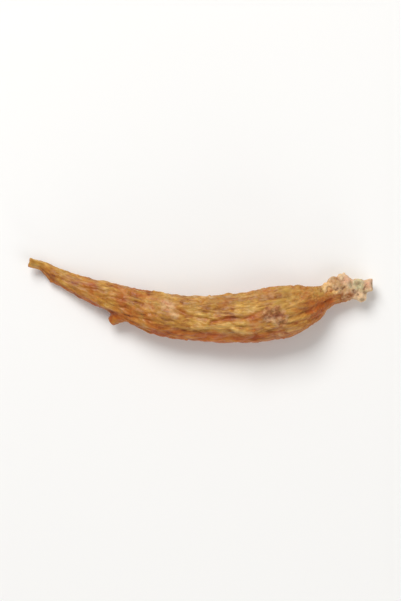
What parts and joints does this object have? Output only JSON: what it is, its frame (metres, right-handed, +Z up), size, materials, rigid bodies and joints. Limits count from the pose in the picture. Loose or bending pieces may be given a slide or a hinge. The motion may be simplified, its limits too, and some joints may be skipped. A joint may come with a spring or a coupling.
{
  "type": "ginseng root",
  "caption": "Dried red ginseng root: a thick bent body with long furrows, a thin cut tail and a knobbly rhizome with stem scars.",
  "frame": {"origin": "under the middle of the root's outline seen from above, on the surface it lies on", "axes": "+X from the thin tail to the rhizome, +Y to the hollow side of the bend, +Z up"},
  "size_m": [0.0798, 0.0196, 0.0112],
  "materials": {
    "root_skin": "dried, steamed skin: horny amber brown with a low sheen"
  },
  "bodies": {
    "root": {"ginseng_root": "root_skin"}
  },
  "joints": []
}
